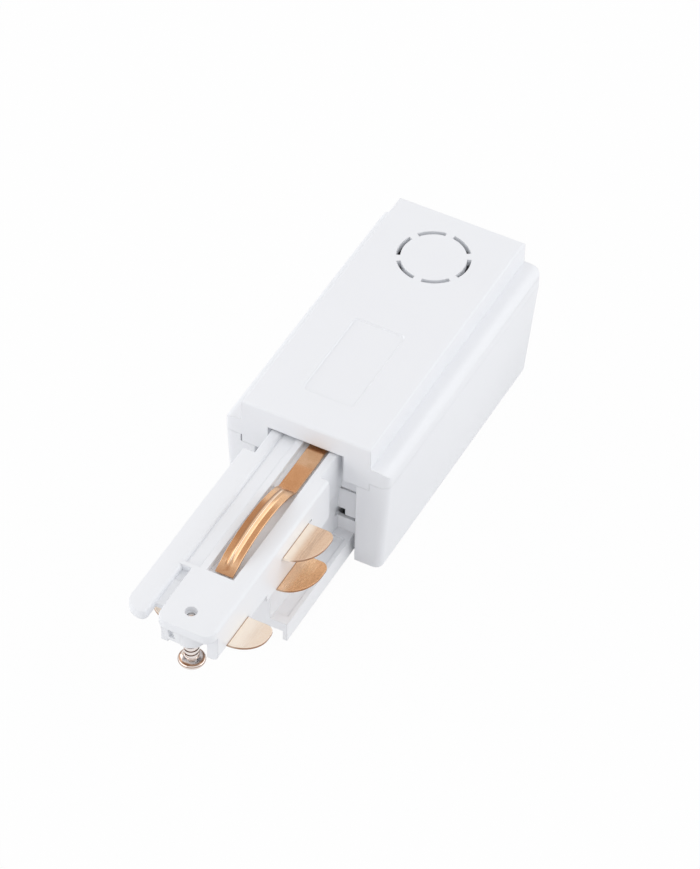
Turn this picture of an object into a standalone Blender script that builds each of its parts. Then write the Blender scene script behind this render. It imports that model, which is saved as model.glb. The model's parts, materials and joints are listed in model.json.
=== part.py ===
"""Live-end power feed for a three-circuit lighting track.

A white two-part housing holds a keyed insert that slides into the end of the
track. Copper leaves on the insert's sides reach the track's conductors, a
sprung copper strip on top reaches the earthed back of the track, and a screw
under the nose locks the insert in place.

Frame: +Z up, the housing stands on its flat bottom, the insert points to -Y.
The origin is under the middle of the whole part. Lengths are in metres.
"""
import bpy
import bmesh
from math import acos, cos, pi, radians, sin, tan
from mathutils import Matrix, Vector

# Housing
housing_width = 0.0360
housing_length = 0.0663
housing_height = 0.0324
ledge_width = 0.0039
cap_rise = 0.0051
ledge_fall = 0.0001
shoulder_height = 0.0040
shoulder_radius = 0.0023
cap_edge_radius = 0.0006
corner_radius = 0.0018
back_corner_radius = 0.0012
foot_radius = 0.0010
side_draft = 0.0013
back_draft = 0.0020
shell_wall = 0.0016
roof_thickness = 0.0018
floor_thickness = 0.0016
tongue_inset = 0.0041
tongue_drop = 0.0018
face_opening_width = 0.0165
base_opening_width = 0.0222
floor_notch = 0.0030
clearance = 0.0003

# Knock-out and label recess in the roof
knockout_from_back = 0.0126
knockout_radius = 0.0071
knockout_slot = 0.00085
knockout_web_angle = 14.0
knockout_slots = 6
label_width = 0.0112
label_length = 0.0224
label_setback = 0.0087
label_depth = 0.00025
label_corner = 0.0008

# Insert, upper half
insert_reach = 0.0532
insert_drop = 0.0047
deck_thickness = 0.0020
block_left = -0.0033
block_width = 0.0121
wing_left = -0.0100
neck_right = 0.0070
neck_left = -0.0075
neck_length = 0.0066
deck_edge = 0.00035
crest_radius = 0.0008
nose_corner = 0.0022
wing_outer_corner = 0.0034
wing_inner_corner = 0.0012
step_corner = 0.0004
block_front_depth = 0.0085
block_rear_depth = 0.00995
block_step_from_face = 0.0315
leg_setback = 0.0027
left_leg = 0.0014
right_leg = 0.0023
leg_toe_radius = 0.0014
pocket_length = 0.0060
shoulder_side_gap = 0.0021
shoulder_thickness = 0.0031
shoulder_drop = 0.0003

# Recesses in the deck
key_left = -0.0052
key_width = 0.0020
key_depth = 0.0011
key_floor_length = 0.0101
key_start = 0.0390
key_pocket_length = 0.0030
key_pocket_depth = 0.0004
channel_right = -0.0020
channel_depth = 0.0006
channel_length = 0.0380
slot_left = -0.0005
slot_width = 0.0057
slot_depth = 0.0011
slot_end_gap = 0.0009
spring_room_depth = 0.0014

# Nose boss and lock screw
lock_x = 0.0021
lock_from_face = 0.0486
boss_radius = 0.0028
boss_top_radius = 0.0039
boss_depth = 0.0072
boss_toe = 0.0003
nose_wall = 0.0015
nose_slope = 0.0014
nose_window = 0.0011
nose_window_side = 0.0009
nose_window_rise = 0.0013
nose_window_height = 0.0026
nose_window_back = 0.0004
tip_hole_radius = 0.0009
tip_mouth_radius = 0.0012
tip_mouth_depth = 0.0012
tip_skin = 0.0018
sleeve_radius = 0.0021
sleeve_length = 0.0037
sleeve_seat = 0.0008
lock_shank_radius = 0.0015
lock_tip_radius = 0.00072
lock_tip_length = 0.0029
lock_tip_taper = 0.0004
screw_chamfer = 0.0002
lock_head_radius = 0.00272
lock_head_height = 0.0021
lock_head_shoulder = 0.0008
lock_head_drop = 0.0048
thread_gap = 0.00015
lock_travel = 0.0020

# Insert, lower half
base_half = 0.0063
base_front = 0.0256
flange_half = 0.0100
flange_top = 0.0058
flange_thickness = 0.0022
skirt_thickness = 0.0009
skirt_drop = 0.0045
flange_groove_depth = 0.0004
flange_groove_setback = 0.0020
base_wall = 0.0015
guide_split_share = 0.313
guide_split_gap = 0.0008
guide_well_share = 0.39
guide_skin = 0.0008
spacer_width = 0.0022

# Copper
leaf_thickness = 0.0005
leaf_reach = 0.0060
leaf_crown = 0.0030
leaf_corner = 0.0018
upper_leaf_drop = 0.0042
lower_leaf_drop = 0.0105
side_leaf_drop = 0.0074
upper_leaf_rear = 0.0150
lower_leaf_rear = 0.0173
leaf_length = 0.0104
side_leaf_rear = 0.0390
side_leaf_length = 0.0081
bar_width = 0.0020
bar_inset = 0.0026
window_rear_gap = 0.0013
window_front_gap = 0.0005
bridge_width = 0.0044

# Earth strip
earth_width = 0.0038
earth_x = 0.0026
earth_flat_drop = 0.0003
earth_flat_length = 0.0121
earth_arch_length = 0.0250
earth_arch_rise = 0.0026
earth_end_drop = 0.0003
earth_fall_front = 0.0008
earth_fall_back = 0.0012
bead_width = 0.0010
bead_height = 0.00045

# Terminals
terminal_gap_from_face = 0.0143
terminal_block_length = 0.0135
terminal_side_gap = 0.0012
terminal_end_wall = 0.0007
terminal_front_wall = 0.0022
terminal_shelf = 0.0020
tier_setback = 0.0004
cage_width = 0.0050
cage_length = 0.0090
cage_height = 0.0056
cage_top_wall = 0.0008
cage_side_wall = 0.0008
cage_bottom_wall = 0.0016
strip_below_cage_top = 0.0015
terminal_screw_radius = 0.0013
terminal_head_radius = 0.0019
terminal_head_height = 0.0014
terminal_travel = 0.0018
tail_length = 0.0080

# Cord clamp
clamp_from_face = 0.0410
clamp_screw_inset = 0.0095
clamp_bar_width = 0.0052
clamp_bar_thickness = 0.0025
clamp_corner = 0.0006
clamp_saddle_rise = 0.0010
clamp_post_radius = 0.0024
cord_room = 0.0088
clamp_travel = 0.0030

# Cover screws
cover_screw_inset = 0.0085
cover_screw_from_back = 0.0058
cover_post_radius = 0.0032
cover_post_height = 0.0120
cover_sink = 0.0098
cover_head_radius = 0.0024
cover_head_height = 0.0017
cover_shank_radius = 0.0013
cover_screw_length = 0.0100
cover_screw_point = 0.0010

# Places that follow from the sizes above
face_y = (insert_reach - housing_length) / 2
back_y = face_y + housing_length
ledge_height = housing_height - cap_rise
seam_height = ledge_height - shoulder_height
cap_width = housing_width - 2 * ledge_width
tongue_width = housing_width - 2 * tongue_inset
tongue_bottom = seam_height - tongue_drop
insert_top = housing_height - insert_drop
block_front_bottom = insert_top - block_front_depth
block_rear_bottom = insert_top - block_rear_depth
shoulder_half = cap_width / 2 - shell_wall - shoulder_side_gap
shoulder_top = insert_top - shoulder_drop
guide_half = shoulder_half
boss_bottom = insert_top - boss_depth
upper_leaf_height = insert_top - upper_leaf_drop
lower_leaf_height = insert_top - lower_leaf_drop
side_leaf_height = insert_top - side_leaf_drop
terminal_block_half = housing_width / 2 - shell_wall - terminal_side_gap
terminal_pitch = (terminal_block_half - terminal_end_wall - cage_width / 2) / 2
clamp_spacing = housing_width - 2 * clamp_screw_inset
cover_screw_spacing = housing_width - 2 * cover_screw_inset
block_right = block_left + block_width
block_middle = block_left + block_width / 2
deck_bottom = insert_top - deck_thickness
nose_y = face_y - insert_reach
leg_y = nose_y + leg_setback
lock_y = face_y - lock_from_face
base_top = lower_leaf_height - leaf_thickness / 2 - clearance
guide_split = flange_top + guide_split_share * (base_top - flange_top)
roof_inside = housing_height - roof_thickness
reach_over = 0.0010
MILLIMETRE = 0.001


def new_collection(name):
    made = bpy.data.collections.new(name)
    bpy.context.scene.collection.children.link(made)
    return made


for item in list(bpy.data.objects):
    bpy.data.objects.remove(item, do_unlink=True)
parts = new_collection("track_power_feed")
cutters = new_collection("cutters")


def new_material(name, color, roughness, metallic):
    made = bpy.data.materials.new(name)
    made.use_nodes = True
    shader = made.node_tree.nodes["Principled BSDF"]
    shader.inputs["Base Color"].default_value = (*color, 1.0)
    shader.inputs["Roughness"].default_value = roughness
    shader.inputs["Metallic"].default_value = metallic
    return made


def add_mesh(name, mesh, is_cutter):
    made = bpy.data.objects.new(name, mesh)
    (cutters if is_cutter else parts).objects.link(made)
    if is_cutter:
        made.hide_render = True
        made.display_type = 'WIRE'
    return made


def settle(work):
    """Weld, and snap to a tenth of a micron so that flush faces are flush."""
    for vertex in work.verts:
        vertex.co = [round(value, 7) for value in vertex.co]
    bmesh.ops.remove_doubles(work, verts=work.verts, dist=1e-6)


def tidy_mesh(mesh):
    """Make each flat cap of a filled curve one face."""
    work = bmesh.new()
    work.from_mesh(mesh)
    settle(work)
    bmesh.ops.dissolve_degenerate(work, edges=work.edges, dist=1e-6)
    bmesh.ops.dissolve_limit(work, angle_limit=radians(0.1), verts=work.verts, edges=work.edges)
    bmesh.ops.recalc_face_normals(work, faces=work.faces)
    work.to_mesh(mesh)
    work.free()


def rounded(corners, steps=4):
    """An outline whose corners (u, v, radius) are rounded by arcs."""
    outline = []
    count = len(corners)
    for index, (u, v, radius) in enumerate(corners):
        here = Vector((u, v))
        before = Vector(corners[index - 1][:2]) - here
        after = Vector(corners[(index + 1) % count][:2]) - here
        half = before.angle(after) / 2
        radius = min(radius, 0.95 * tan(half) * min(before.length, after.length))
        if radius <= 0:
            outline.append((u, v))
            continue
        before.normalize()
        after.normalize()
        centre = here + (before + after).normalized() * (radius / sin(half))
        start = here + before * (radius / tan(half)) - centre
        sweep = pi - 2 * half
        if start.y * before.x - start.x * before.y < 0:
            sweep = -sweep
        for step in range(steps + 1):
            angle = sweep * step / steps
            outline.append((centre.x + start.x * cos(angle) - start.y * sin(angle),
                            centre.y + start.x * sin(angle) + start.y * cos(angle)))
    return outline


def prism(name, plane, outline, low, high, is_cutter=False):
    """A flat outline with thickness, from a filled 2D curve.

    The curve is drawn in millimetres, where Blender's fill is exact.
    """
    curve = bpy.data.curves.new(name, 'CURVE')
    curve.dimensions = '2D'
    curve.fill_mode = 'BOTH'
    curve.extrude = (high - low) / 2 / MILLIMETRE
    spline = curve.splines.new('POLY')
    spline.points.add(len(outline) - 1)
    for point, (u, v) in zip(spline.points, outline):
        point.co = (u / MILLIMETRE, v / MILLIMETRE, 0, 1)
    spline.use_cyclic_u = True
    guide = bpy.data.objects.new(name, curve)
    bpy.context.scene.collection.objects.link(guide)
    middle = (low + high) / 2
    turn = {
        "XY": Matrix.Translation((0, 0, middle)),
        "XZ": Matrix.Translation((0, middle, 0)) @ Matrix.Rotation(pi / 2, 4, 'X'),
        "YZ": Matrix.Translation((middle, 0, 0)) @ Matrix(
            ((0, 0, 1, 0), (1, 0, 0, 0), (0, 1, 0, 0), (0, 0, 0, 1))),
    }[plane]
    graph = bpy.context.evaluated_depsgraph_get()
    mesh = bpy.data.meshes.new_from_object(guide.evaluated_get(graph))
    bpy.data.objects.remove(guide, do_unlink=True)
    mesh.transform(turn @ Matrix.Scale(MILLIMETRE, 4))
    tidy_mesh(mesh)
    return add_mesh(name, mesh, is_cutter)


def box(name, x, y, z, is_cutter=False):
    mesh = bpy.data.meshes.new(name)
    work = bmesh.new()
    size = Vector((x[1] - x[0], y[1] - y[0], z[1] - z[0]))
    place = Vector(((x[0] + x[1]) / 2, (y[0] + y[1]) / 2, (z[0] + z[1]) / 2))
    bmesh.ops.create_cube(work, size=1, matrix=Matrix.Translation(place) @ Matrix.Diagonal((*size, 1)))
    settle(work)
    work.to_mesh(mesh)
    work.free()
    return add_mesh(name, mesh, is_cutter)


def rod(name, x, y, low, high, radius, top_radius=None, sides=24, is_cutter=False):
    mesh = bpy.data.meshes.new(name)
    work = bmesh.new()
    bmesh.ops.create_cone(work, cap_ends=True, segments=sides, radius1=radius,
                          radius2=radius if top_radius is None else top_radius, depth=high - low,
                          matrix=Matrix.Translation((x, y, (low + high) / 2)))
    settle(work)
    work.to_mesh(mesh)
    work.free()
    return add_mesh(name, mesh, is_cutter)


def turned(name, x, y, z, profile, steps=24):
    """A turned piece: (radius, height) points from the top down its side."""
    mesh = bpy.data.meshes.new(name)
    work = bmesh.new()
    ring = [work.verts.new((radius, 0, height)) for radius, height in profile]
    for first, second in zip(ring, ring[1:]):
        work.edges.new((first, second))
    work.to_mesh(mesh)
    work.free()
    made = add_mesh(name, mesh, False)
    made.location = (x, y, z)
    screw = made.modifiers.new("turn", 'SCREW')
    screw.axis = 'Z'
    screw.steps = steps
    screw.render_steps = steps
    screw.use_merge_vertices = True
    screw.merge_threshold = 1e-6
    screw.use_smooth_shade = False
    return made


def combine(body, tool, operation):
    step = body.modifiers.new(tool.name, 'BOOLEAN')
    step.operation = operation
    step.solver = 'EXACT'
    step.object = tool


def cut(body, tool):
    combine(body, tool, 'DIFFERENCE')


def join(body, tool):
    tool.hide_render = True
    tool.display_type = 'WIRE'
    if tool.name in parts.objects:
        parts.objects.unlink(tool)
        cutters.objects.link(tool)
    combine(body, tool, 'UNION')


def keep(body, tool):
    combine(body, tool, 'INTERSECT')


def finish(body, material):
    body.data.materials.clear()
    body.data.materials.append(material)


white = new_material("white_plastic", (0.86, 0.87, 0.88), 0.34, 0.0)
copper = new_material("copper", (0.72, 0.43, 0.26), 0.28, 1.0)
brass = new_material("brass", (0.72, 0.56, 0.28), 0.32, 1.0)
nickel = new_material("nickel", (0.74, 0.71, 0.68), 0.14, 1.0)
steel = new_material("zinc_steel", (0.66, 0.67, 0.69), 0.3, 1.0)
grey = new_material("grey_plastic", (0.55, 0.57, 0.60), 0.45, 0.0)


# Upper shell: a capped, stepped cover with the knock-out in its roof.
def upper_section(inset, floor, top):
    half = housing_width / 2 - inset
    cap = cap_width / 2 - inset
    ledge = ledge_height - inset
    edge = max(cap_edge_radius - inset, 0)
    bend = max(shoulder_radius - inset, shell_wall / 4)
    return rounded([(-half, floor, 0), (-half, ledge - ledge_fall, bend), (-cap, ledge, 0), (-cap, top, edge),
                    (cap, top, edge), (cap, ledge, 0), (half, ledge - ledge_fall, bend), (half, floor, 0)])


def plan(inset, front, back):
    half = housing_width / 2 - inset
    radius = max(corner_radius - inset, shell_wall / 4)
    back_bend = max(back_corner_radius - inset, shell_wall / 4)
    return rounded([(-half, front, radius), (half, front, radius),
                    (half, back, back_bend), (-half, back, back_bend)])


upper_shell = prism("upper_shell", "XZ", upper_section(0, seam_height, housing_height), face_y, back_y)
keep(upper_shell, prism("upper_plan", "XY", plan(0, face_y, back_y),
                        seam_height - reach_over, housing_height + reach_over, True))
keep(upper_shell, prism("upper_side", "YZ", rounded([
    (face_y, seam_height - reach_over, 0), (back_y, seam_height - reach_over, 0),
    (back_y, housing_height, cap_edge_radius), (face_y, housing_height, cap_edge_radius)]),
    -housing_width, housing_width, True))
cut(upper_shell, prism("upper_hollow", "XZ", upper_section(shell_wall, tongue_bottom - reach_over, roof_inside),
                       face_y + shell_wall, back_y - shell_wall, True))
join(upper_shell, box("tongue", (-tongue_width / 2, tongue_width / 2), (face_y, face_y + shell_wall),
                      (tongue_bottom, seam_height + shell_wall)))
cut(upper_shell, box("face_opening", (-face_opening_width / 2, face_opening_width / 2),
                     (face_y - reach_over, face_y + shell_wall + reach_over),
                     (tongue_bottom - reach_over, insert_top + clearance), True))
knockout_y = back_y - knockout_from_back
for number in range(knockout_slots):
    middle = number * 2 * pi / knockout_slots
    half_angle = pi / knockout_slots - radians(knockout_web_angle) / 2
    outer = [(middle - half_angle + step * half_angle / 4, knockout_radius + knockout_slot / 2) for step in range(9)]
    inner = [(middle + half_angle - step * half_angle / 4, knockout_radius - knockout_slot / 2) for step in range(9)]
    ring = [(radius * cos(angle), knockout_y + radius * sin(angle)) for angle, radius in outer + inner]
    cut(upper_shell, prism("knockout_%d" % number, "XY", ring,
                           roof_inside - reach_over, housing_height + reach_over, True))
label_front = face_y + label_setback
cut(upper_shell, prism("label_recess", "XY", rounded([
    (-label_width / 2, label_front, label_corner), (label_width / 2, label_front, label_corner),
    (label_width / 2, label_front + label_length, label_corner),
    (-label_width / 2, label_front + label_length, label_corner)], 3),
    housing_height - label_depth, housing_height + reach_over, True))

# Pads and posts under the roof carry the insert, the terminals and the clamp.
clamp_y = face_y + clamp_from_face
clamp_top = roof_inside - cord_room
cover_y = back_y - shell_wall - cover_screw_from_back + clearance
terminal_front = face_y + terminal_gap_from_face
terminal_back = terminal_front + terminal_block_length
upper_cage_top = upper_leaf_height + strip_below_cage_top
lower_cage_top = lower_leaf_height + strip_below_cage_top
terminal_top = upper_cage_top + clearance
join(upper_shell, box("insert_pad", (neck_left, neck_right),
                      (face_y + shell_wall + clearance, face_y + shell_wall + clearance + shoulder_thickness),
                      (shoulder_top + clearance, roof_inside + roof_thickness / 2)))
for side in (-1, 1):
    pad = sorted((side * (cap_width / 2 - shell_wall - 3 * clearance), side * terminal_pitch * 1.5))
    join(upper_shell, box("terminal_pad_%+d" % side, pad, (terminal_front + 2 * clearance, terminal_back - 2 * clearance),
                          (terminal_top + clearance, roof_inside + roof_thickness / 2)))
    join(upper_shell, rod("clamp_post_%+d" % side, side * clamp_spacing / 2, clamp_y,
                          clamp_top + clearance, roof_inside + roof_thickness / 2, clamp_post_radius, sides=20))
    cut(upper_shell, rod("clamp_pilot_%+d" % side, side * clamp_spacing / 2, clamp_y,
                         clamp_top - reach_over, roof_inside - reach_over,
                         cover_shank_radius + clearance, sides=16, is_cutter=True))
    join(upper_shell, rod("cover_post_%+d" % side, side * cover_screw_spacing / 2, cover_y,
                          cover_post_height + clearance, roof_inside + roof_thickness / 2,
                          cover_post_radius - 2 * clearance, sides=20))
    cut(upper_shell, rod("cover_pilot_%+d" % side, side * cover_screw_spacing / 2, cover_y,
                         cover_post_height - reach_over,
                         cover_sink + cover_screw_length + 2 * clearance,
                         cover_shank_radius + clearance, sides=16, is_cutter=True))
finish(upper_shell, white)

# Lower shell: a drafted tray that closes the housing from below.
lower_top = seam_height - clearance


def lower_form(name, inset, floor, top, is_cutter):
    """A tray's outside, narrower at its foot, with the foot's edge rounded."""
    half = housing_width / 2 - inset
    front = face_y + inset
    length = back_y - inset - front
    body = prism(name, "XY", plan(inset, front, back_y - inset), floor, top, is_cutter)
    work = bmesh.new()
    work.from_mesh(body.data)
    foot = [vertex for vertex in work.verts if abs(vertex.co.z - floor) < 1e-6]
    for vertex in foot:
        vertex.co.x *= (half - side_draft) / half
        vertex.co.y = front + (vertex.co.y - front) * (length - back_draft) / length
    rim = [edge for edge in work.edges if all(vertex in foot for vertex in edge.verts)]
    bmesh.ops.bevel(work, geom=rim, offset=max(foot_radius - inset, shell_wall / 4), offset_type='OFFSET',
                    segments=3, profile=0.5, affect='EDGES', clamp_overlap=True)
    settle(work)
    bmesh.ops.triangulate(work, faces=[face for face in work.faces if len(face.verts) == 4])
    work.to_mesh(body.data)
    work.free()
    return body


lower_shell = lower_form("lower_shell", 0, 0, lower_top, False)
cut(lower_shell, lower_form("lower_hollow", shell_wall, floor_thickness, lower_top + shell_wall, True))
cut(lower_shell, box("tongue_seat", (-tongue_width / 2 - clearance, tongue_width / 2 + clearance),
                     (face_y - reach_over, face_y + shell_wall + reach_over),
                     (tongue_bottom - clearance, lower_top + reach_over), True))
cut(lower_shell, box("base_opening", (-base_opening_width / 2, base_opening_width / 2),
                     (face_y - reach_over, face_y + floor_notch), (-reach_over, tongue_bottom), True))
for side in (-1, 1):
    x = side * cover_screw_spacing / 2
    join(lower_shell, rod("lower_post_%+d" % side, x, cover_y, floor_thickness / 2, cover_post_height,
                          cover_post_radius, sides=20))
    cut(lower_shell, rod("lower_sink_%+d" % side, x, cover_y, -reach_over, cover_sink,
                         cover_head_radius + clearance, sides=20, is_cutter=True))
    cut(lower_shell, rod("lower_bore_%+d" % side, x, cover_y, -reach_over, cover_post_height + reach_over,
                         cover_shank_radius + clearance, sides=16, is_cutter=True))
finish(lower_shell, white)

# Insert, upper half: the deck with its wing, the block under it, the legs
# and boss of the nose, and the shoulder that the housing traps.
step_y = face_y - neck_length
key_right = key_left + key_width
key_mouth = nose_y + (insert_reach - key_start - key_floor_length)
inside_y = face_y + shell_wall + clearance
contact_carrier = prism("contact_carrier", "XY", rounded([
    (neck_left, inside_y + shoulder_thickness / 2, 0), (neck_left, step_y, 0), (wing_left, step_y, step_corner),
    (wing_left, nose_y, wing_outer_corner), (key_left, nose_y, wing_inner_corner),
    (key_left, key_mouth, 0), (key_right, key_mouth, 0),
    (key_right, nose_y, nose_corner), (block_right, nose_y, nose_corner),
    (block_right, step_y, step_corner), (neck_right, step_y, 0), (neck_right, inside_y + shoulder_thickness / 2, 0)], 5),
    deck_bottom, insert_top)


def is_top_edge(edge):
    return all(abs(vertex.co.z - insert_top) < 1e-6 for vertex in edge.verts) and len(edge.link_faces) == 2 \
        and edge.calc_face_angle(0) > 1.0


work = bmesh.new()
work.from_mesh(contact_carrier.data)
bmesh.ops.dissolve_limit(work, angle_limit=0.001, verts=work.verts, edges=work.edges)
bmesh.ops.bevel(work, geom=[edge for edge in work.edges if is_top_edge(edge)], offset=deck_edge,
                offset_type='OFFSET', segments=2, profile=0.5, affect='EDGES', clamp_overlap=True)
work.to_mesh(contact_carrier.data)
work.free()

block_step_y = face_y - block_step_from_face
pocket_back = leg_y + pocket_length
join(contact_carrier, prism("block", "YZ", [
    (pocket_back, block_front_bottom), (block_step_y, block_front_bottom), (block_step_y, block_rear_bottom),
    (step_y, block_rear_bottom), (step_y, deck_bottom + deck_thickness / 2),
    (pocket_back, deck_bottom + deck_thickness / 2)], block_left, block_right))
join(contact_carrier, box("neck", (block_left, neck_right), (step_y - reach_over, inside_y + shoulder_thickness / 2),
                          (block_rear_bottom, deck_bottom + deck_thickness / 2)))
join(contact_carrier, box("shoulder", (-shoulder_half, shoulder_half), (inside_y, inside_y + shoulder_thickness),
                          (block_rear_bottom, shoulder_top)))
leg_top = deck_bottom + deck_thickness / 2
join(contact_carrier, box("left_leg", (block_left, block_left + left_leg), (leg_y, pocket_back + reach_over),
                          (block_front_bottom, leg_top)))
join(contact_carrier, prism("right_leg", "XZ", rounded([
    (block_right - right_leg, block_front_bottom, 0), (block_right, block_front_bottom, leg_toe_radius),
    (block_right, leg_top, 0), (block_right - right_leg, leg_top, 0)]), leg_y, pocket_back + reach_over))
# The sloping front wall and the boss round the lock screw.
boss_front = lock_y - boss_radius
join(contact_carrier, prism("nose_wall", "YZ", [
    (boss_front - nose_slope, deck_bottom + deck_thickness / 2), (boss_front + boss_toe, boss_bottom),
    (boss_front + boss_toe + nose_wall, boss_bottom), (boss_front + nose_wall, deck_bottom + deck_thickness / 2)],
    block_left + left_leg - reach_over / 2, lock_x))
join(contact_carrier, rod("boss", lock_x, lock_y, boss_bottom, deck_bottom + deck_thickness / 2,
                          boss_radius, boss_top_radius, sides=32))
window_left = block_left + left_leg + nose_window_side
cut(contact_carrier, box("nose_window", (window_left, window_left + nose_window),
                         (boss_front - nose_slope - reach_over, leg_y - nose_window_back),
                         (boss_bottom + nose_window_rise, boss_bottom + nose_window_rise + nose_window_height), True))
sleeve_bottom = boss_bottom + sleeve_seat
cut(contact_carrier, rod("tip_hole", lock_x, lock_y, boss_bottom - reach_over, insert_top + reach_over,
                         tip_hole_radius, sides=20, is_cutter=True))
cut(contact_carrier, rod("tip_mouth", lock_x, lock_y, insert_top - tip_mouth_depth, insert_top + reach_over,
                         tip_mouth_radius, sides=24, is_cutter=True))
cut(contact_carrier, rod("shank_hole", lock_x, lock_y, boss_bottom - reach_over, insert_top - tip_skin,
                         lock_shank_radius + clearance, sides=20, is_cutter=True))
cut(contact_carrier, rod("sleeve_hole", lock_x, lock_y, sleeve_bottom, sleeve_bottom + sleeve_length + 2 * clearance,
                         sleeve_radius + clearance, sides=24, is_cutter=True))

# Crests: a rounded shoulder beside the key groove and along the block's edge.
def crest_cut(name, edge, side, floor, start, stop, far):
    arc = [(edge + side * crest_radius * (1 - cos(step * pi / 8)),
            insert_top - crest_radius * (1 - sin(step * pi / 8))) for step in range(5)]
    tail = [(edge + side * crest_radius, insert_top + reach_over), (far, insert_top + reach_over),
            (far, floor), (edge, floor)]
    cut(contact_carrier, prism(name, "XZ", arc + tail, start, stop, True))


channel_front = face_y - channel_length
crest_cut("channel", key_left, -1, insert_top - channel_depth, channel_front, back_y, channel_right)
crest_cut("key_groove", key_left, -1, insert_top - key_depth, nose_y - reach_over, face_y - key_start, key_right)
crest_cut("block_crest", block_right, -1, insert_top - crest_radius, nose_y + nose_corner, step_y, block_right + reach_over)
cut(contact_carrier, box("key_pocket", (key_left, key_right), (face_y - key_start - key_pocket_length, face_y - key_start),
                         (insert_top - key_depth - key_pocket_depth, insert_top), True))
slot_front = face_y - earth_flat_length - earth_arch_length - slot_end_gap
cut(contact_carrier, box("earth_slot", (slot_left, slot_left + slot_width), (slot_front, back_y),
                         (insert_top - slot_depth, insert_top + reach_over), True))
cut(contact_carrier, box("spring_room", (slot_left, slot_left + slot_width), (slot_front, face_y - earth_flat_length),
                         (insert_top - spring_room_depth, insert_top), True))

# Slots for the copper, each with its window in the block's side.
half_leaf = leaf_thickness / 2 + clearance
bar_right = block_right - bar_inset
bar_left = block_left + bar_inset
for side, edge, bar in ((1, block_right, bar_right), (-1, block_left, bar_left)):
    inner = bar - side * bar_width
    channel_x = sorted((inner - side * clearance, bar + side * clearance))
    window_x = sorted((inner - side * clearance, edge + side * reach_over))
    height = (upper_leaf_height - half_leaf, upper_leaf_height + half_leaf)
    cut(contact_carrier, box("bar_slot_%+d" % side, channel_x,
                             (face_y - upper_leaf_rear - leaf_length - window_front_gap, back_y), height, True))
    cut(contact_carrier, box("window_%+d" % side, window_x,
                             (face_y - upper_leaf_rear - leaf_length - window_front_gap,
                              face_y - upper_leaf_rear + window_rear_gap), height, True))
cut(contact_carrier, box("bridge_slot", (block_left - reach_over, block_right + reach_over),
                         (face_y - side_leaf_rear - side_leaf_length - clearance, face_y - side_leaf_rear + clearance),
                         (side_leaf_height - half_leaf, side_leaf_height + half_leaf), True))
finish(contact_carrier, white)

# Insert, lower half: an upright with a flange that closes the track's mouth.
base_y = face_y - base_front
carrier_base = prism("carrier_base", "XZ", [
    (-flange_half, flange_top - skirt_drop), (-flange_half + skirt_thickness, flange_top - skirt_drop),
    (-flange_half + skirt_thickness, flange_top - flange_thickness), (-base_half + base_wall, flange_top - flange_thickness),
    (-base_half + base_wall, base_top - base_wall), (base_half - base_wall, base_top - base_wall),
    (base_half - base_wall, flange_top - flange_thickness), (flange_half - skirt_thickness, flange_top - flange_thickness),
    (flange_half - skirt_thickness, flange_top - skirt_drop), (flange_half, flange_top - skirt_drop),
    (flange_half, flange_top), (base_half, flange_top), (base_half, base_top),
    (-base_half, base_top), (-base_half, flange_top), (-flange_half, flange_top)],
    base_y, inside_y + shoulder_thickness)
join(carrier_base, box("base_front_wall", (-base_half + base_wall / 2, base_half - base_wall / 2), (base_y, base_y + base_wall),
                       (flange_top - flange_thickness, base_top - base_wall / 2)))
join(carrier_base, box("spacer", (block_middle - spacer_width / 2, block_middle + spacer_width / 2),
                       (base_y, inside_y + shoulder_thickness),
                       (base_top - base_wall / 2, block_rear_bottom - clearance)))
guide_bottom = floor_thickness + clearance
join(carrier_base, box("guide", (-guide_half, guide_half), (inside_y, inside_y + shoulder_thickness), (guide_bottom, base_top)))
for side in (-1, 1):
    groove = sorted((side * base_half, side * (flange_half - skirt_thickness)))
    cut(carrier_base, box("flange_groove_%+d" % side, groove, (base_y + flange_groove_setback, face_y - clearance),
                          (flange_top - flange_groove_depth, flange_top + reach_over), True))
    split = sorted((side * base_half, side * (guide_half + reach_over)))
    cut(carrier_base, box("guide_split_%+d" % side, split,
                          (inside_y - reach_over, inside_y + shoulder_thickness / 2),
                          (guide_split, guide_split + guide_split_gap), True))
    well = sorted((side * (base_half - clearance), side * (base_half + guide_well_share * (guide_half - base_half))))
    cut(carrier_base, box("guide_well_%+d" % side, well,
                          (inside_y - reach_over, inside_y + shoulder_thickness + reach_over),
                          (guide_split + guide_split_gap / 2, guide_split + 3 * guide_split_gap), True))
    cut(carrier_base, box("guide_room_%+d" % side, well,
                          (inside_y + guide_skin, inside_y + shoulder_thickness + reach_over),
                          (flange_top, guide_split + guide_split_gap), True))
skirt_floor = flange_top - skirt_drop
cut(carrier_base, box("skirt_relief", (-housing_width, housing_width), (face_y + floor_notch - clearance, back_y),
                      (0, guide_bottom), True))
finish(carrier_base, white)


# Half-moon leaves of the side contacts.
def leaf(edge, side, rear, length):
    """Outline of a leaf: straight rear edge, rounded tip, long curved front."""
    tip = edge + side * leaf_reach
    crown = rear - leaf_crown
    run = length - leaf_crown
    outline = [(edge, rear)]
    for step in range(5):
        angle = step * pi / 8
        outline.append((tip - side * leaf_corner * (1 - sin(angle)), rear - leaf_corner * (1 - cos(angle))))
    for step in range(13):
        angle = step * pi / 24
        outline.append((edge + side * leaf_reach * cos(angle), crown - run * sin(angle)))
    return outline


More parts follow.
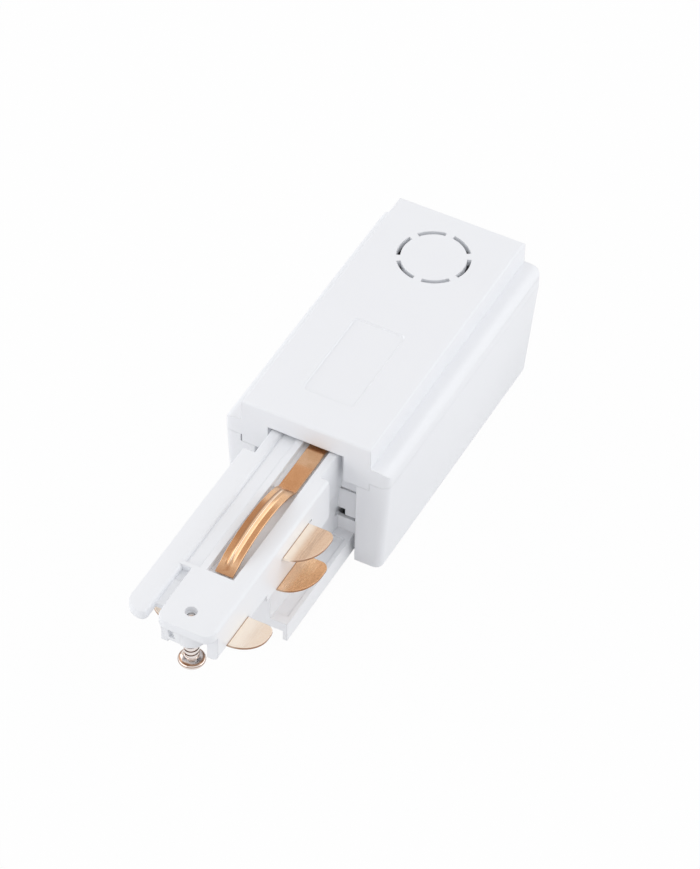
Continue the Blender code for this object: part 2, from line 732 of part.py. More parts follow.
def contact(name, side, height, rear, tail_x, jog_start, jog_end):
    edge = block_right if side > 0 else block_left
    outer = edge - side * bar_inset
    inner = outer - side * bar_width
    front = rear - leaf_length
    shape = leaf(edge, side, rear, leaf_length)
    half_tail = bar_width / 2
    tail = terminal_front + terminal_front_wall + clearance + tail_length
    shape += [(inner, front), (inner, jog_start), (tail_x - side * half_tail, jog_end), (tail_x - side * half_tail, tail),
              (tail_x + side * half_tail, tail), (tail_x + side * half_tail, jog_end), (outer, jog_start), (outer, rear)]
    made = prism(name, "XY", shape, height - leaf_thickness / 2, height + leaf_thickness / 2)
    finish(made, copper)
    return made


jog_start = inside_y + shoulder_thickness + clearance
jog_end = terminal_front - 2 * clearance
line_contact_1 = contact("line_contact_1", 1, upper_leaf_height, face_y - upper_leaf_rear, 2 * terminal_pitch, jog_start, jog_end)
line_contact_2 = contact("line_contact_2", 1, lower_leaf_height, face_y - lower_leaf_rear, terminal_pitch, jog_start, jog_end)
line_contact_3 = contact("line_contact_3", -1, upper_leaf_height, face_y - upper_leaf_rear, -2 * terminal_pitch, jog_start, jog_end)
neutral_contact = contact("neutral_contact", -1, lower_leaf_height, face_y - lower_leaf_rear, -terminal_pitch, jog_start, jog_end)

side_rear = face_y - side_leaf_rear
side_front = side_rear - side_leaf_length
right_leaf = leaf(block_right, 1, side_rear, side_leaf_length)
left_leaf = leaf(block_left, -1, side_rear, side_leaf_length)
bridge_front = side_rear - bridge_width
side_outline = right_leaf + [(block_right - right_leg, side_front), (block_right - right_leg, bridge_front),
                             (block_left + left_leg, bridge_front), (block_left + left_leg, side_front)] + left_leaf[::-1]
side_contact = prism("side_contact", "XY", side_outline,
                     side_leaf_height - leaf_thickness / 2, side_leaf_height + leaf_thickness / 2)
finish(side_contact, copper)

# Earth strip: a surface that follows the strip's side view, with a bead
# pressed along its arch, then given its thickness.
flat_z = insert_top - earth_flat_drop
flat_front = face_y - earth_flat_length
arch_front = flat_front - earth_arch_length
tail_z = upper_leaf_height + leaf_thickness / 2
tail_end = terminal_front + terminal_front_wall + clearance + tail_length


def smooth(value):
    value = min(max(value, 0), 1)
    return value * value * (3 - 2 * value)


def arch_height(share):
    return earth_arch_rise * sin(pi * share ** 0.9) ** 0.8 if 0 < share < 1 else 0.0


path = [(tail_end, tail_z)]
drop_start = jog_end - earth_fall_back
drop_end = jog_start + earth_fall_front
for step in range(5):
    share = step / 4
    path.append((drop_start + (drop_end - drop_start) * share, tail_z + (flat_z - tail_z) * smooth(share)))
path.append((face_y, flat_z))
path.append((flat_front, flat_z))
for step in range(1, 31):
    share = step / 30
    path.append((flat_front - earth_arch_length * share,
                 flat_z + arch_height(share) - earth_end_drop * smooth((share - 0.8) * 5)))
bead_half = bead_width / 2
across = [-earth_width / 2, -bead_width, -bead_half, 0.0, bead_half, bead_width, earth_width / 2]
mesh = bpy.data.meshes.new("earth_contact")
work = bmesh.new()
rows = []
for y, z in path:
    share = (flat_front - y) / earth_arch_length
    crown = bead_height * smooth(share * 12) * smooth((0.96 - share) * 12)
    narrow = 1.0 if y < jog_start else bar_width / earth_width + (1 - bar_width / earth_width) * smooth((drop_start - y) / (drop_start - drop_end))
    lift = [0, 0, crown * 0.6, crown, crown * 0.6, 0, 0]
    centre = earth_x if y < jog_start else earth_x * smooth((drop_start - y) / (drop_start - drop_end))
    rows.append([work.verts.new((centre + x * narrow, y, z + rise)) for x, rise in zip(across, lift)])
for first, second in zip(rows, rows[1:]):
    for index in range(len(across) - 1):
        work.faces.new((first[index], first[index + 1], second[index + 1], second[index]))
bmesh.ops.recalc_face_normals(work, faces=work.faces)
if sum(face.normal.z for face in work.faces) < 0:
    bmesh.ops.reverse_faces(work, faces=work.faces)
work.to_mesh(mesh)
work.free()
earth_contact = add_mesh("earth_contact", mesh, False)
sheet = earth_contact.modifiers.new("sheet", 'SOLIDIFY')
sheet.thickness = leaf_thickness
sheet.offset = -1
sheet.use_even_offset = True
finish(earth_contact, copper)

# Terminal block: two levels of cages behind the insert.
cage_front = terminal_front + terminal_front_wall + clearance
places = ((1, -2, upper_cage_top), (2, -1, lower_cage_top), (3, 0, upper_cage_top),
          (4, 1, lower_cage_top), (5, 2, upper_cage_top))
lower_pocket_bottom = lower_cage_top - cage_height - clearance
upper_pocket_bottom = upper_cage_top - cage_height - clearance
low_half = terminal_pitch + cage_width / 2 + clearance + cage_side_wall
terminal_block = box("terminal_block", (-terminal_block_half, terminal_block_half), (terminal_front, terminal_back),
                     (upper_pocket_bottom - terminal_shelf, terminal_top))
join(terminal_block, box("lower_tier", (-low_half, low_half), (terminal_front + tier_setback, terminal_back - tier_setback),
                         (lower_pocket_bottom - terminal_shelf, upper_pocket_bottom)))
for number, column, top in places:
    x = column * terminal_pitch
    room = cage_width / 2 + clearance
    cut(terminal_block, box("cage_pocket_%d" % number, (x - room, x + room), (cage_front - clearance, terminal_back + reach_over),
                            (top - cage_height - clearance, top + clearance + (reach_over if top > lower_cage_top else 0)), True))
    cut(terminal_block, box("strip_slot_%d" % number, (x - bar_width / 2 - clearance, x + bar_width / 2 + clearance),
                            (terminal_front - reach_over, cage_front + clearance),
                            (top - strip_below_cage_top - half_leaf, top - strip_below_cage_top + half_leaf), True))
    cut(terminal_block, rod("driver_hole_%d" % number, x, cage_front + cage_length / 2,
                            lower_pocket_bottom - terminal_shelf - reach_over, top - cage_height, terminal_head_radius + clearance,
                            sides=16, is_cutter=True))
finish(terminal_block, grey)

# Cages and their screws. Each screw lifts to clamp a wire under the strip.
for number, column, top in places:
    x = column * terminal_pitch
    bottom = top - cage_height
    cage = box("terminal_%d" % number, (x - cage_width / 2, x + cage_width / 2), (cage_front, cage_front + cage_length), (bottom, top))
    cut(cage, box("wire_way_%d" % number, (x - cage_width / 2 + cage_side_wall, x + cage_width / 2 - cage_side_wall),
                  (cage_front - reach_over, cage_front + cage_length + reach_over),
                  (bottom + cage_bottom_wall, top - cage_top_wall), True))
    middle = cage_front + cage_length / 2
    cut(cage, rod("cage_thread_%d" % number, x, middle, bottom - reach_over, bottom + cage_bottom_wall + reach_over,
                  terminal_screw_radius + thread_gap, sides=16, is_cutter=True))
    finish(cage, brass)
    head_top = -terminal_travel - 2 * clearance
    screw = turned("terminal_screw_%d" % number, x, middle, bottom, [
        (0, cage_bottom_wall - clearance), (terminal_screw_radius - screw_chamfer, cage_bottom_wall - clearance),
        (terminal_screw_radius, cage_bottom_wall - clearance - screw_chamfer), (terminal_screw_radius, head_top),
        (terminal_head_radius, head_top), (terminal_head_radius, head_top - terminal_head_height),
        (0, head_top - terminal_head_height)], 16)
    finish(screw, steel)

# Lock screw and the threaded sleeve in the boss.
sleeve = rod("lock_sleeve", lock_x, lock_y, sleeve_bottom + clearance, sleeve_bottom + clearance + sleeve_length, sleeve_radius, sides=24)
cut(sleeve, rod("sleeve_thread", lock_x, lock_y, sleeve_bottom - reach_over, sleeve_bottom + sleeve_length + reach_over,
                lock_shank_radius + thread_gap, sides=24, is_cutter=True))
finish(sleeve, brass)
shank_length = insert_top - tip_skin - clearance - lock_travel - boss_bottom + lock_head_drop
neck_angle = acos(lock_shank_radius / lock_head_radius)
crown = [(lock_head_radius * cos(share * neck_angle), -lock_head_shoulder * (1 - sin(share * neck_angle) / sin(neck_angle)))
         for share in (0.75, 0.5, 0.25)]
dome = [(lock_head_radius * cos(angle * pi / 14), -lock_head_shoulder - (lock_head_height - lock_head_shoulder) * sin(angle * pi / 14))
        for angle in range(0, 7)]
lock_screw = turned("lock_screw", lock_x, lock_y, boss_bottom - lock_head_drop, [
    (0, shank_length + lock_tip_length), (lock_tip_radius - screw_chamfer, shank_length + lock_tip_length),
    (lock_tip_radius, shank_length + lock_tip_length - screw_chamfer), (lock_tip_radius, shank_length + lock_tip_taper),
    (lock_shank_radius, shank_length), (lock_shank_radius, 0)] + crown + dome + [
    (0, -lock_head_height)], 32)
finish(lock_screw, nickel)

# Cord clamp with its two screws.
clamp_half = clamp_spacing / 2 + clamp_post_radius + clearance
cord_clamp = prism("cord_clamp", "XZ", rounded([
    (-clamp_half, clamp_top - clamp_bar_thickness, clamp_corner), (clamp_half, clamp_top - clamp_bar_thickness, clamp_corner),
    (clamp_half, clamp_top, 0), (clamp_spacing / 2 - clamp_post_radius, clamp_top, 0),
    (clamp_spacing / 4, clamp_top + clamp_saddle_rise, 0), (-clamp_spacing / 4, clamp_top + clamp_saddle_rise, 0),
    (-clamp_spacing / 2 + clamp_post_radius, clamp_top, 0), (-clamp_half, clamp_top, 0)], 3),
    clamp_y - clamp_bar_width / 2, clamp_y + clamp_bar_width / 2)
for side, name in ((-1, "clamp_screw_left"), (1, "clamp_screw_right")):
    x = side * clamp_spacing / 2
    cut(cord_clamp, rod("clamp_hole_%+d" % side, x, clamp_y, clamp_top - clamp_bar_thickness - reach_over, clamp_top + reach_over,
                        cover_shank_radius + clearance, sides=16, is_cutter=True))
    head = clamp_top - clamp_bar_thickness - clearance
    screw = turned(name, x, clamp_y, head, [
        (0, cord_room - clearance), (cover_shank_radius * 0.6, cord_room - clearance),
        (cover_shank_radius, cord_room - 3 * clearance), (cover_shank_radius, 0), (cover_head_radius, 0),
        (cover_head_radius, -cover_head_height * 0.6), (cover_head_radius * 0.7, -cover_head_height), (0, -cover_head_height)], 16)
    finish(screw, steel)
finish(cord_clamp, grey)

# Screws that hold the lower shell to the upper one.
for side, name in ((-1, "cover_screw_left"), (1, "cover_screw_right")):
    screw = turned(name, side * cover_screw_spacing / 2, cover_y, cover_sink - clearance, [
        (0, cover_screw_length), (cover_shank_radius * 0.6, cover_screw_length),
        (cover_shank_radius, cover_screw_length - cover_screw_point), (cover_shank_radius, 0), (cover_head_radius, 0),
        (cover_head_radius, -cover_head_height * 0.6), (cover_head_radius * 0.7, -cover_head_height), (0, -cover_head_height)], 16)
    finish(screw, steel)

for body in parts.objects:
    if body.name.endswith(("screw", "left", "right", "sleeve")) or "screw" in body.name:
        body.data.shade_smooth()
        body.data.set_sharp_from_angle(angle=radians(35))
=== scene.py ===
"""Track light power feed, dressed for its picture."""
import bpy
from math import cos, pi, radians, sin
from mathutils import Euler, Matrix, Vector
import json


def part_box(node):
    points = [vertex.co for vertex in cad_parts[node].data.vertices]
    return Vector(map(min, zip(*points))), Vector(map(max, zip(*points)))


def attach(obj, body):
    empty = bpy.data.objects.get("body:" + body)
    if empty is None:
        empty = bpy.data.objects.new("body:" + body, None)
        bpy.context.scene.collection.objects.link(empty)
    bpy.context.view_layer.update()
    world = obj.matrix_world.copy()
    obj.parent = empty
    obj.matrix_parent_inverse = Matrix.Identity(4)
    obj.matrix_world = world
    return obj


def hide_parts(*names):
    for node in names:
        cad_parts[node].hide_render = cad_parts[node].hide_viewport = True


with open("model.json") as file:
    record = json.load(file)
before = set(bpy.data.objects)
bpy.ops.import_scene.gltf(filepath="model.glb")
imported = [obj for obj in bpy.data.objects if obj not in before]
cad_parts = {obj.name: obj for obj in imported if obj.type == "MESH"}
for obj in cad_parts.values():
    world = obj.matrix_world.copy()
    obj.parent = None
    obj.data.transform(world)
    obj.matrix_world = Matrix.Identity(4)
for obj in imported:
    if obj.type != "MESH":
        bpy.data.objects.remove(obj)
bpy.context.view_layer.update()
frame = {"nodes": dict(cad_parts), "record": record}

MM = 1000  # millimetres in a metre

# Places that the solids have, in millimetres.
BLOCK_MIDDLE = 2.75  # across the insert's block
LEAF_ROOT = 6.05  # from the block's middle to where its leaves come out
STRIP_MIDDLE = 2.6  # across the earth strip
ARCH_FRONT, ARCH_BACK = -43.65, -18.65  # along the earth strip
LABEL_FLOOR, LABEL_MIDDLE = 32.15, 13.35  # height, and place along the roof
CHANNEL_FLOOR, CHANNEL_LEFT = 27.1, -5.2  # height, and place across the insert


# Shader maths

class Wire:
    """A socket that can be added, multiplied and compared."""

    def __init__(self, paint, socket):
        self.paint = paint
        self.socket = socket

    def _math(self, kind, *others):
        return self.paint.node("ShaderNodeMath", {"operation": kind}, *others)

    def __add__(self, other):
        return self._math("ADD", self, other)

    __radd__ = __add__

    def __sub__(self, other):
        return self._math("SUBTRACT", self, other)

    def __rsub__(self, other):
        return self._math("SUBTRACT", other, self)

    def __mul__(self, other):
        return self._math("MULTIPLY", self, other)

    __rmul__ = __mul__

    def __abs__(self):
        return self._math("ABSOLUTE", self)

    def above(self, edge, width):
        """0 below edge, 1 above edge + width, smooth between."""
        return self.paint.node("ShaderNodeMapRange", {"interpolation_type": "SMOOTHSTEP"},
                               self, edge, edge + width, 0.0, 1.0)

    def between(self, low, high, width):
        """1 from low to high, fading to 0 over the width outside them."""
        return self.above(low - width, width) * (1 - self.above(high, width))


class Paint:
    """A new material, or the world, and its nodes."""

    def __init__(self, name, world=False):
        self.material = bpy.data.worlds.new(name) if world else bpy.data.materials.new(name)
        self.material.use_nodes = True
        self.tree = self.material.node_tree
        self.shader = self.tree.nodes["Background" if world else "Principled BSDF"]
        self.end = self.tree.nodes["World Output" if world else "Material Output"]
        self.place = self.node("ShaderNodeTexCoord", {}, out="Generated" if world else "Object")

    def connect(self, socket, value):
        if isinstance(value, Wire):
            self.tree.links.new(value.socket, socket)
        else:
            socket.default_value = value

    def node(self, kind, settings, *values, out=0, **named):
        """A node with its settings, and the values or links of its sockets by order or by name."""
        made = self.tree.nodes.new(kind)
        for key, value in settings.items():
            setattr(made, key, value)
        for order, value in enumerate(values):
            if value is not None:
                self.connect(made.inputs[order], value)
        for name, value in named.items():
            if value is not None:
                self.connect(made.inputs[name], value)
        return Wire(self, made.outputs[out])

    def noise(self, scale, detail=2.0, rough=0.5, stretch=(1, 1, 1)):
        where = self.node("ShaderNodeMapping", {}, self.place, Scale=stretch)
        return self.node("ShaderNodeTexNoise", {}, Vector=where, Scale=scale, Detail=detail, Roughness=rough)

    def mix(self, share, *colours):
        """The first colour where the share is 0, the second where it is 1."""
        first, second = (colour if isinstance(colour, Wire) else (*colour, 1.0) for colour in colours)
        unused = (None,) * 5
        return self.node("ShaderNodeMix", {"data_type": "RGBA"}, share, *unused, first, second, out=2)

    def part(self, source, letter):
        """One coordinate of a place or direction."""
        return self.node("ShaderNodeSeparateXYZ", {}, source, out=letter)

    def upward(self):
        """1 on faces that look up, 0 on upright ones, -1 on those that look down."""
        return self.part(self.node("ShaderNodeTexCoord", {}, out="Normal"), "Z")

    def ray(self, kind):
        return self.node("ShaderNodeLightPath", {}, out="Is %s Ray" % kind)

    def bump(self, height, strength, distance=0.00003, softened=0.0):
        """Relief of a distance in metres, over edges softened to a radius in metres."""
        edge = self.node("ShaderNodeBevel", {"samples": 6}, softened) if softened else None
        return self.node("ShaderNodeBump", {}, Strength=strength, Distance=distance, Height=height, Normal=edge)

    def feed(self, **sockets):
        """Set the shader's own sockets, and give the finished material."""
        for name, value in sockets.items():
            self.connect(self.shader.inputs[name.replace("_", " ")], value)
        return self.material

    def blend(self, share, first, second):
        return self.node("ShaderNodeMixShader", {}, share, first, second)

    def own_surface(self):
        return Wire(self, self.shader.outputs[0])

    def show(self, surface):
        self.connect(self.end.inputs["Surface"], surface)
        return self.material


# Finishes

def white_plastic(name, tint, softened):
    paint = Paint(name)
    cloud = paint.noise(60.0, 3.0)
    grain = paint.noise(5200.0)
    shade = tuple(value * 0.975 for value in tint)
    return paint.feed(Base_Color=paint.mix(cloud, shade, tint),
                      Roughness=0.30 + 0.10 * paint.noise(350.0, 3.0),
                      Normal=paint.bump(grain, 0.10, 0.00002, softened))


def grey_plastic(name):
    paint = Paint(name)
    cloud = paint.noise(90.0, 3.0)
    return paint.feed(Base_Color=paint.mix(cloud, (0.50, 0.52, 0.55), (0.58, 0.60, 0.63)),
                      Roughness=0.42 + 0.12 * paint.noise(600.0, 3.0),
                      Normal=paint.bump(paint.noise(4200.0), 0.15))


class CopperSheet(Paint):
    """Rolled copper sheet: streaks and grain, tarnish in clouds, and painted shade on the sheet's
    sideways-facing edges.
    """

    def __init__(self, name, rough, bright, dull, edge):
        super().__init__(name)
        tarnish = self.noise(240.0, 4.0, 0.6).above(0.44, 0.24)
        self.streak = self.noise(3000.0, 3.0, 0.6, stretch=(1.0, 0.08, 1.0))
        grain = self.noise(3800.0)
        self.facing = self.upward()
        # Painted shade: the sheet's edges, which face sideways, darkened by the edge share.
        painted_edge_shade = 1 - (self.facing * self.facing).above(0.30, 0.5)
        dulled = tarnish * 0.40 + self.streak.above(0.40, 0.30) * 0.15 + grain.above(0.45, 0.15) * 0.35
        self.colour = self.mix(dulled, bright, dull)
        self.stain(painted_edge_shade * edge, (0.30, 0.12, 0.04))
        self.gloss = rough + 0.07 * self.streak + 0.06 * tarnish

    def stain(self, share, colour):
        """Lay a colour of painted light or painted shade over the sheet's, by its share."""
        self.colour = self.mix(share, self.colour, colour)

    def finish(self, metal, relief):
        return self.feed(Base_Color=self.colour, Metallic=metal, Roughness=self.gloss,
                         Normal=self.bump(self.streak, relief))


def leaf(name, rough, metal, bright, dull, painted_reflection_share):
    """A contact leaf: painted reflection of the block's white wall beside the block, a streaky band of painted
    shade further out, and a thin painted shadow where the leaf leaves the block.
    """
    sheet = CopperSheet(name, rough, bright, dull, edge=0.9)
    beside = abs(sheet.part(sheet.place, "X") * MM - BLOCK_MIDDLE)
    # Painted reflection: the block's white wall, mirrored pale in the leaf near the block, by the reflection
    # share.
    painted_wall_reflection = 1 - beside.above(LEAF_ROOT + 1.0, 1.6)
    # Painted shade: a streaky dull band further out, where the leaf mirrors the shade of the gap.
    painted_shade_stripe = beside.between(LEAF_ROOT + 2.7, LEAF_ROOT + 3.5, 0.9) * sheet.streak.above(0.38, 0.2)
    # Painted shadow: a thin dark line on the leaf's upper face where it leaves the block.
    painted_root_shadow = beside.between(LEAF_ROOT - 0.35, LEAF_ROOT + 0.08, 0.14) * sheet.facing.above(0.5, 0.3)
    sheet.stain(painted_wall_reflection * painted_reflection_share, (0.99, 0.89, 0.77))
    sheet.stain(painted_shade_stripe * (0.35 * painted_reflection_share), (0.52, 0.40, 0.33))
    sheet.stain(painted_root_shadow * 0.8, (0.36, 0.17, 0.07))
    return sheet.finish(metal, relief=0.25)


def pressed_strip(name, rough, bright, dull):
    """The earth strip's copper, with painted shade in a band left of the bead, at its front end, at the bead's
    left foot and on its right slope, and a painted highlight along the bead's ridge.
    """
    sheet = CopperSheet(name, rough, bright, dull, edge=0.0)
    beside = sheet.part(sheet.place, "X") * MM - STRIP_MIDDLE
    along = sheet.part(sheet.place, "Y") * MM
    arch = along.between(ARCH_FRONT + 2.4, ARCH_BACK - 2.6, 1.2)
    # Painted shade: a darker band left of the bead, in the middle of the arch.
    painted_lane_shade = beside.between(-2.2, -0.7, 0.2) * along.between(ARCH_FRONT + 9.0, ARCH_BACK - 8.0, 3.0)
    # Painted shade: the strip's front end, where it curls down, darker.
    tip = 1 - along.above(ARCH_FRONT + 1.0, 1.6)
    # Painted shade: a dark line at the bead's left foot.
    painted_foot_shade = beside.between(-0.72, -0.44, 0.16) * arch
    # Painted shade: the bead's right slope dulled, toning down the lamp's highlight on it.
    painted_slope_shade = beside.between(0.22, 0.50, 0.12) * arch
    # Painted highlight: a pale line along the bead's ridge.
    painted_crest_highlight = beside.between(-0.04, 0.08, 0.10) * arch
    sheet.stain(painted_lane_shade * 0.45 + tip * 0.5, (0.40, 0.20, 0.10))
    sheet.stain(painted_foot_shade * 0.85, (0.34, 0.17, 0.08))
    sheet.stain(painted_slope_shade * 0.7, (0.52, 0.33, 0.20))
    sheet.stain(painted_crest_highlight * 0.6, (0.96, 0.86, 0.76))
    return sheet.finish(metal=1.0, relief=0.12)


def plated(name, colour, worn):
    paint = Paint(name)
    wear = paint.noise(700.0, 4.0, 0.6)
    return paint.feed(Base_Color=paint.mix(wear.above(0.5, 0.25), colour, worn), Metallic=1.0,
                      Roughness=0.24 + 0.10 * paint.noise(1500.0, 3.0),
                      Normal=paint.bump(wear, 0.06))


def mirror_plated(name, bright, painted_reflection_dark):
    """Bright plating, with dark rings of painted reflection under the head, round its rim and on its crown."""
    paint = Paint(name)
    # Painted reflection: dark rings laid by which way each face looks, standing for what the domed head
    # mirrors.
    facing = paint.upward() + 0.16 * (paint.noise(420.0, 3.0) - 0.5)
    under_head = facing.between(-0.72, -0.64, 0.08)
    rim = facing.between(0.20, 0.46, 0.12)
    crown = facing.between(0.72, 0.84, 0.08)
    return paint.feed(Base_Color=paint.mix(under_head + rim * 0.8 + crown, bright, painted_reflection_dark), Metallic=1.0,
                      Roughness=0.05 + 0.08 * paint.noise(900.0, 3.0))


housing_white = white_plastic("housing_white", (0.90, 0.913, 0.94), softened=0.00022)
insert_white = white_plastic("insert_white", (0.90, 0.913, 0.938), softened=0.00020)
strip_copper = pressed_strip("strip_copper", rough=0.13, bright=(0.82, 0.54, 0.34), dull=(0.67, 0.39, 0.20))
# The leaves share one copper in three tones: the lower leaves darker and more orange, as painted shade, and the
# front leaf paler and less metallic, as painted light, each set to how its leaf is lit.
upper_leaf = leaf("upper_leaf_copper", rough=0.26, metal=0.75,
                  bright=(0.94, 0.79, 0.65), dull=(0.78, 0.58, 0.42), painted_reflection_share=1.0)
lower_leaf = leaf("lower_leaf_copper", rough=0.24, metal=0.90,
                  bright=(0.98, 0.65, 0.40), dull=(0.68, 0.38, 0.19), painted_reflection_share=0.25)
front_leaf = leaf("front_leaf_copper", rough=0.30, metal=0.50,
                  bright=(1.0, 0.91, 0.80), dull=(0.96, 0.82, 0.68), painted_reflection_share=0.25)
brass = plated("terminal_brass", (0.78, 0.60, 0.30), worn=(0.62, 0.45, 0.22))
nickel = mirror_plated("lock_screw_nickel", (0.80, 0.74, 0.71), painted_reflection_dark=(0.32, 0.20, 0.14))
zinc = plated("zinc_steel", (0.70, 0.71, 0.73), worn=(0.58, 0.60, 0.62))
terminal_grey = grey_plastic("terminal_grey")


# Housing, insert, terminals and copper: finer copies of the CAD nodes

slots = {row["node"]: row["material_slot"] for row in frame["record"]["subparts"]}
body_of = {node: body for body, nodes in frame["record"]["behaviour"]["bodies"].items() for node in nodes}


def pick(obj):
    bpy.ops.object.select_all(action='DESELECT')
    bpy.context.view_layer.objects.active = obj
    obj.select_set(True)


def seat(piece, node, angle):
    """Smooth the piece below an angle, and let it stand for its node and ride with its body."""
    pick(piece)
    bpy.ops.object.shade_smooth_by_angle(angle=radians(angle))
    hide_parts(node)
    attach(piece, body_of[node])


def copy_of(obj, node):
    """A copy of an object, with its own mesh, named for the node that it will stand for."""
    pick(obj)
    bpy.ops.object.duplicate()
    piece = bpy.context.active_object
    piece.name = "fine_" + node
    if piece.data.users > 1:
        piece.data = piece.data.copy()
    return piece


def dress(node, material, angle):
    """A merged copy of a CAD node in its finish."""
    piece = copy_of(frame["nodes"][node], node)
    bpy.ops.object.mode_set(mode='EDIT')
    bpy.ops.mesh.select_all(action='SELECT')
    bpy.ops.mesh.remove_doubles(threshold=0.002 / MM)
    bpy.ops.mesh.dissolve_limited(angle_limit=radians(0.4))
    bpy.ops.object.mode_set(mode='OBJECT')
    bpy.ops.mesh.customdata_custom_splitnormals_clear()
    piece.data.materials.clear()
    piece.data.materials.append(material)
    seat(piece, node, angle)
    return piece


def level(piece, axis, where, now):
    """Bring the points that lie at one height (or side) to another, in millimetres."""
    for vertex in piece.data.vertices:
        if abs(vertex.co[axis] * MM - where) < 0.03:
            vertex.co[axis] = now / MM


def round_edges(piece, sharp, width):
    """Break the edges that are sharper than an angle with a small round, its width in millimetres."""
    pick(piece)
    bpy.ops.object.mode_set(mode='EDIT')
    bpy.ops.mesh.select_all(action='DESELECT')
    bpy.ops.mesh.select_mode(type='EDGE')
    bpy.ops.mesh.edges_select_sharp(sharpness=radians(sharp))
    bpy.ops.mesh.bevel(offset=width / MM, segments=2, profile=0.5, clamp_overlap=True)
    bpy.ops.object.mode_set(mode='OBJECT')


finish_of_slot = {"white_plastic": housing_white, "grey_plastic": terminal_grey, "copper": upper_leaf,
                  "brass": brass}
finish_of_node = {"contact_carrier": insert_white, "carrier_base": insert_white,
                  "earth_contact": strip_copper, "line_contact_2": lower_leaf,
                  "neutral_contact": lower_leaf, "side_contact": front_leaf}
fine = {}
for node in list(frame["nodes"]):
    if "screw" not in node:
        finish = finish_of_node.get(node) or finish_of_slot[slots[node]]
        fine[node] = dress(node, finish, angle=22 if node == "earth_contact" else 32)

# Moulded pieces meet closely: each row brings faces at one place across (0) or up (2) to another.
for node, axis, where, now in (
        ("lower_shell", 2, 23.0, 23.27),  # rim, under the cap
        ("lower_shell", 2, 21.2, 21.47),  # step, under the cap's tongue
        ("lower_shell", 0, 14.2, 13.93),  # and beside it
        ("contact_carrier", 2, 22.95, 23.23),  # slot of the upper leaves, from below
        ("contact_carrier", 2, 24.05, 23.77),  # and from above
        ("contact_carrier", 2, 19.75, 20.03),  # slot of the front leaf, from below
        ("contact_carrier", 2, 20.85, 20.57),  # and from above
        ("contact_carrier", 2, 17.75, 17.47),  # underside, over the lower leaves
        ("carrier_base", 2, 16.65, 16.92)):  # top, under the lower leaves
    level(fine[node], axis, where, now)

# The label recess has a sloping rim.
slope = 0.22 / MM
for vertex in fine["upper_shell"].data.vertices:
    if abs(vertex.co.z * MM - LABEL_FLOOR) < 0.02:
        vertex.co.x -= slope if vertex.co.x > 0 else -slope
        vertex.co.y -= slope if vertex.co.y * MM > LABEL_MIDDLE else -slope

# The channel's left wall leans out.
lean = 0.5 / MM
for vertex in fine["contact_carrier"].data.vertices:
    if abs(vertex.co.z * MM - CHANNEL_FLOOR) < 0.02 and abs(vertex.co.x * MM - CHANNEL_LEFT) < 0.25:
        vertex.co.x += lean

# The strip's bead is narrow, with a crisp foot.
for vertex in fine["earth_contact"].data.vertices:
    beside = vertex.co.x * MM - STRIP_MIDDLE
    if vertex.co.y * MM < ARCH_BACK - 0.35 and 0.3 < abs(beside) < 1.2:
        narrower = 0.72 if abs(beside) < 0.7 else 0.76
        vertex.co.x = (STRIP_MIDDLE + beside * narrower) / MM

for node, piece in fine.items():
    if slots[node] == "copper":
        round_edges(piece, 50, 0.08)
    elif node.startswith("terminal_") and node != "terminal_block":
        round_edges(piece, 60, 0.12)


# Screws, turned, threaded and slotted. Their lengths are in millimetres, x and y in metres.

def turned(node, material, x, y, profile, sides=40):
    """A turned piece, drawn out of a disc ring by ring: (radius, height)."""
    bpy.ops.object.select_all(action='DESELECT')
    radius, height = profile[0]
    bpy.ops.mesh.primitive_circle_add(vertices=sides, radius=radius / MM, fill_type='NGON',
                                      location=(x, y, height / MM))
    piece = bpy.context.active_object
    bpy.ops.object.transform_apply(location=True, rotation=True, scale=True)
    bpy.ops.object.mode_set(mode='EDIT')
    bpy.ops.mesh.select_mode(type='FACE')
    bpy.ops.mesh.select_all(action='SELECT')
    for next_radius, next_height in profile[1:]:
        rise = (next_height - height) / MM
        bpy.ops.mesh.extrude_region_move(TRANSFORM_OT_translate={"value": (0, 0, rise)})
        grow = next_radius / radius
        bpy.ops.transform.resize(value=(grow, grow, 1), center_override=(x, y, next_height / MM))
        radius, height = next_radius, next_height
    bpy.ops.mesh.select_all(action='SELECT')
    bpy.ops.mesh.normals_make_consistent(inside=False)
    bpy.ops.object.mode_set(mode='OBJECT')
    piece.name = "fine_" + node
    piece.data.materials.append(material)
    return piece


def threaded(piece, x, y, radius, low, high, pitch, depth):
    """Lay a thread's ridge round the shank, and join it to the piece."""
    bpy.ops.object.select_all(action='DESELECT')
    bpy.ops.mesh.primitive_circle_add(vertices=3, radius=depth * 1.3 / MM, fill_type='NOTHING',
                                      location=((radius - depth * 0.65) / MM, 0, low / MM),
                                      rotation=(pi / 2, pi / 6, 0))
    ridge = bpy.context.active_object
    bpy.ops.object.transform_apply(location=True, rotation=True, scale=True)
    turns = ridge.modifiers.new("turns", 'SCREW')
    turns.axis = 'Z'
    turns.screw_offset = pitch / MM
    turns.iterations = max(int((high - low) / pitch), 1)
    turns.steps = turns.render_steps = 24
    turns.use_merge_vertices = False
    bpy.ops.object.modifier_apply(modifier="turns")
    bpy.ops.object.mode_set(mode='EDIT')
    bpy.ops.mesh.select_mode(type='EDGE')
    bpy.ops.mesh.select_all(action='DESELECT')
    bpy.ops.mesh.select_non_manifold()
    bpy.ops.mesh.edge_face_add()
    bpy.ops.mesh.select_all(action='SELECT')
    bpy.ops.mesh.normals_make_consistent(inside=False)
    bpy.ops.transform.translate(value=(x, y, 0))
    bpy.ops.object.mode_set(mode='OBJECT')
    ridge.data.materials.append(piece.data.materials[0])
    pick(piece)
    ridge.select_set(True)
    bpy.ops.object.join()


